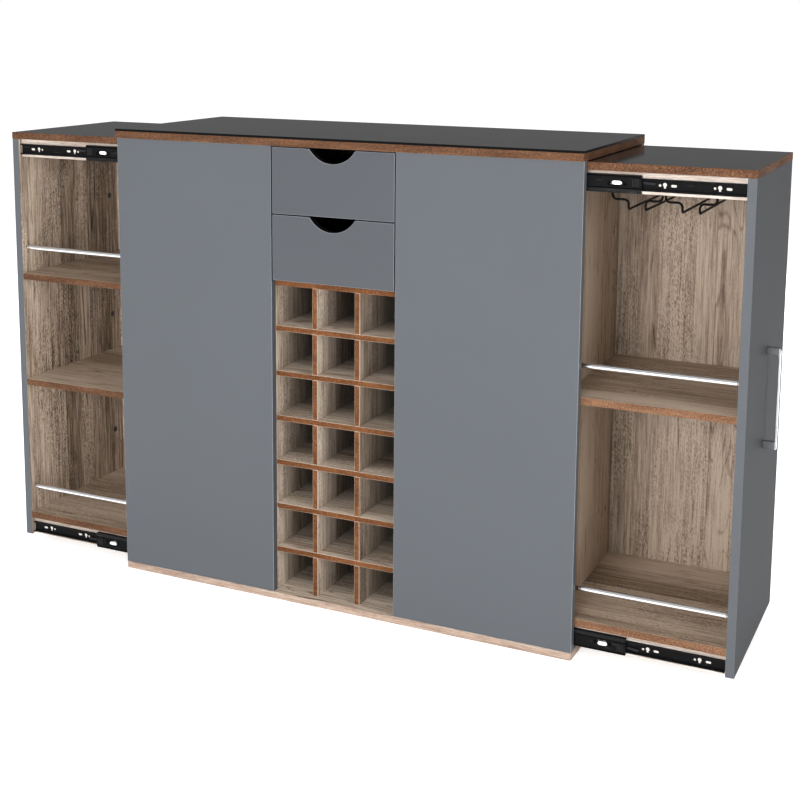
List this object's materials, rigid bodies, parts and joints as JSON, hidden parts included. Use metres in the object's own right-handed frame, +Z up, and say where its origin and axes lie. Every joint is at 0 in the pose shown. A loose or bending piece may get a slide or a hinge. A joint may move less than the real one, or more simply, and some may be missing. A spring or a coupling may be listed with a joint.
{
  "type": "bar cabinet",
  "caption": "Bar cabinet with shelved side units that pull out on slides, drawers and a bottle rack in the middle, bottle shelves with rods and a hanging rack for glasses.",
  "frame": {"origin": "on the underside of the base, halfway between the front faces of the front panels and the rear face of the rear panel, and halfway across the body", "axes": "+X to the right of somebody in front of the cabinet, +Y to the back, +Z up"},
  "size_m": [1.809, 0.4522, 1.05],
  "materials": {
    "grey_board": "chipboard with a satin grey laminate",
    "oak_board": "chipboard with a matt grey-brown oak decor",
    "brown_board": "chipboard with matt brown edges",
    "pale_board": "chipboard with a matt pale oak decor",
    "black_glass": "back-painted black glass, polished",
    "black_steel": "black coated sheet steel and wire, satin",
    "zinc_steel": "zinc plated steel",
    "chrome_rod": "polished chrome plating",
    "handle_steel": "satin chrome plating",
    "beech": "plain fluted beech dowel"
  },
  "bodies": {
    "carcass": {"base_board": "pale_board", "top_board": "brown_board", "top_glass": "black_glass", "left_front_panel": "grey_board", "right_front_panel": "grey_board", "rear_panel": "grey_board", "left_partition": "oak_board", "right_partition": "oak_board", "drawer_shelf": "brown_board", "rack_shelf_1": "brown_board", "rack_shelf_2": "brown_board", "rack_shelf_3": "brown_board", "rack_shelf_4": "brown_board", "rack_shelf_5": "brown_board", "rack_shelf_6": "brown_board", "rack_divider_left": "brown_board", "rack_divider_right": "brown_board", "carcass_dowels": "beech", "fixed_slides": "black_steel", "drawer_fixed_runners": "zinc_steel"},
    "right_pullout": {"right_slab": "brown_board", "right_end_panel": "grey_board", "right_inner_panel": "oak_board", "right_back_panel": "oak_board", "right_shelf": "brown_board", "right_bottom_shelf": "brown_board", "right_top_rail": "pale_board", "right_bottom_rail": "pale_board", "right_gallery_rods": "chrome_rod", "right_handle": "handle_steel", "right_inner_slides": "black_steel", "right_fixings": "zinc_steel", "right_dowels": "beech", "glass_rack": "black_steel"},
    "right_middle_members": {"right_middle_slides": "black_steel"},
    "left_pullout": {"left_slab": "brown_board", "left_end_panel": "grey_board", "left_inner_panel": "oak_board", "left_back_panel": "oak_board", "left_upper_shelf": "brown_board", "left_lower_shelf": "brown_board", "left_bottom_shelf": "brown_board", "left_top_rail": "pale_board", "left_bottom_rail": "pale_board", "left_gallery_rods": "chrome_rod", "left_handle": "handle_steel", "left_inner_slides": "black_steel", "left_fixings": "zinc_steel", "left_dowels": "beech"},
    "left_middle_members": {"left_middle_slides": "black_steel"},
    "upper_drawer": {"upper_drawer_front": "grey_board", "upper_drawer_sides": "oak_board", "upper_drawer_back": "oak_board", "upper_drawer_bottom": "oak_board", "upper_drawer_runners": "zinc_steel"},
    "lower_drawer": {"lower_drawer_front": "grey_board", "lower_drawer_sides": "oak_board", "lower_drawer_back": "oak_board", "lower_drawer_bottom": "oak_board", "lower_drawer_runners": "zinc_steel"}
  },
  "joints": [
    {"name": "right_pullout_slide", "type": "slide", "parent": "carcass", "child": "right_pullout", "axis": [1, 0, 0], "range_m": [-0.327, 0]},
    {"name": "right_middle_slide", "type": "slide", "parent": "carcass", "child": "right_middle_members", "axis": [1, 0, 0], "range_m": [-0.1276, 0.0001]},
    {"name": "left_pullout_slide", "type": "slide", "parent": "carcass", "child": "left_pullout", "axis": [-1, 0, 0], "range_m": [-0.32, 0.007]},
    {"name": "left_middle_slide", "type": "slide", "parent": "carcass", "child": "left_middle_members", "axis": [-1, 0, 0], "range_m": [-0.1249, 0.0028]},
    {"name": "upper_drawer_slide", "type": "slide", "parent": "carcass", "child": "upper_drawer", "axis": [0, -1, 0], "range_m": [0, 0.24]},
    {"name": "lower_drawer_slide", "type": "slide", "parent": "carcass", "child": "lower_drawer", "axis": [0, -1, 0], "range_m": [0, 0.24]}
  ],
  "couplings": [
    {"joint": "right_middle_slide", "follows": "right_pullout_slide", "ratio": 0.39},
    {"joint": "left_middle_slide", "follows": "left_pullout_slide", "ratio": 0.39}
  ]
}
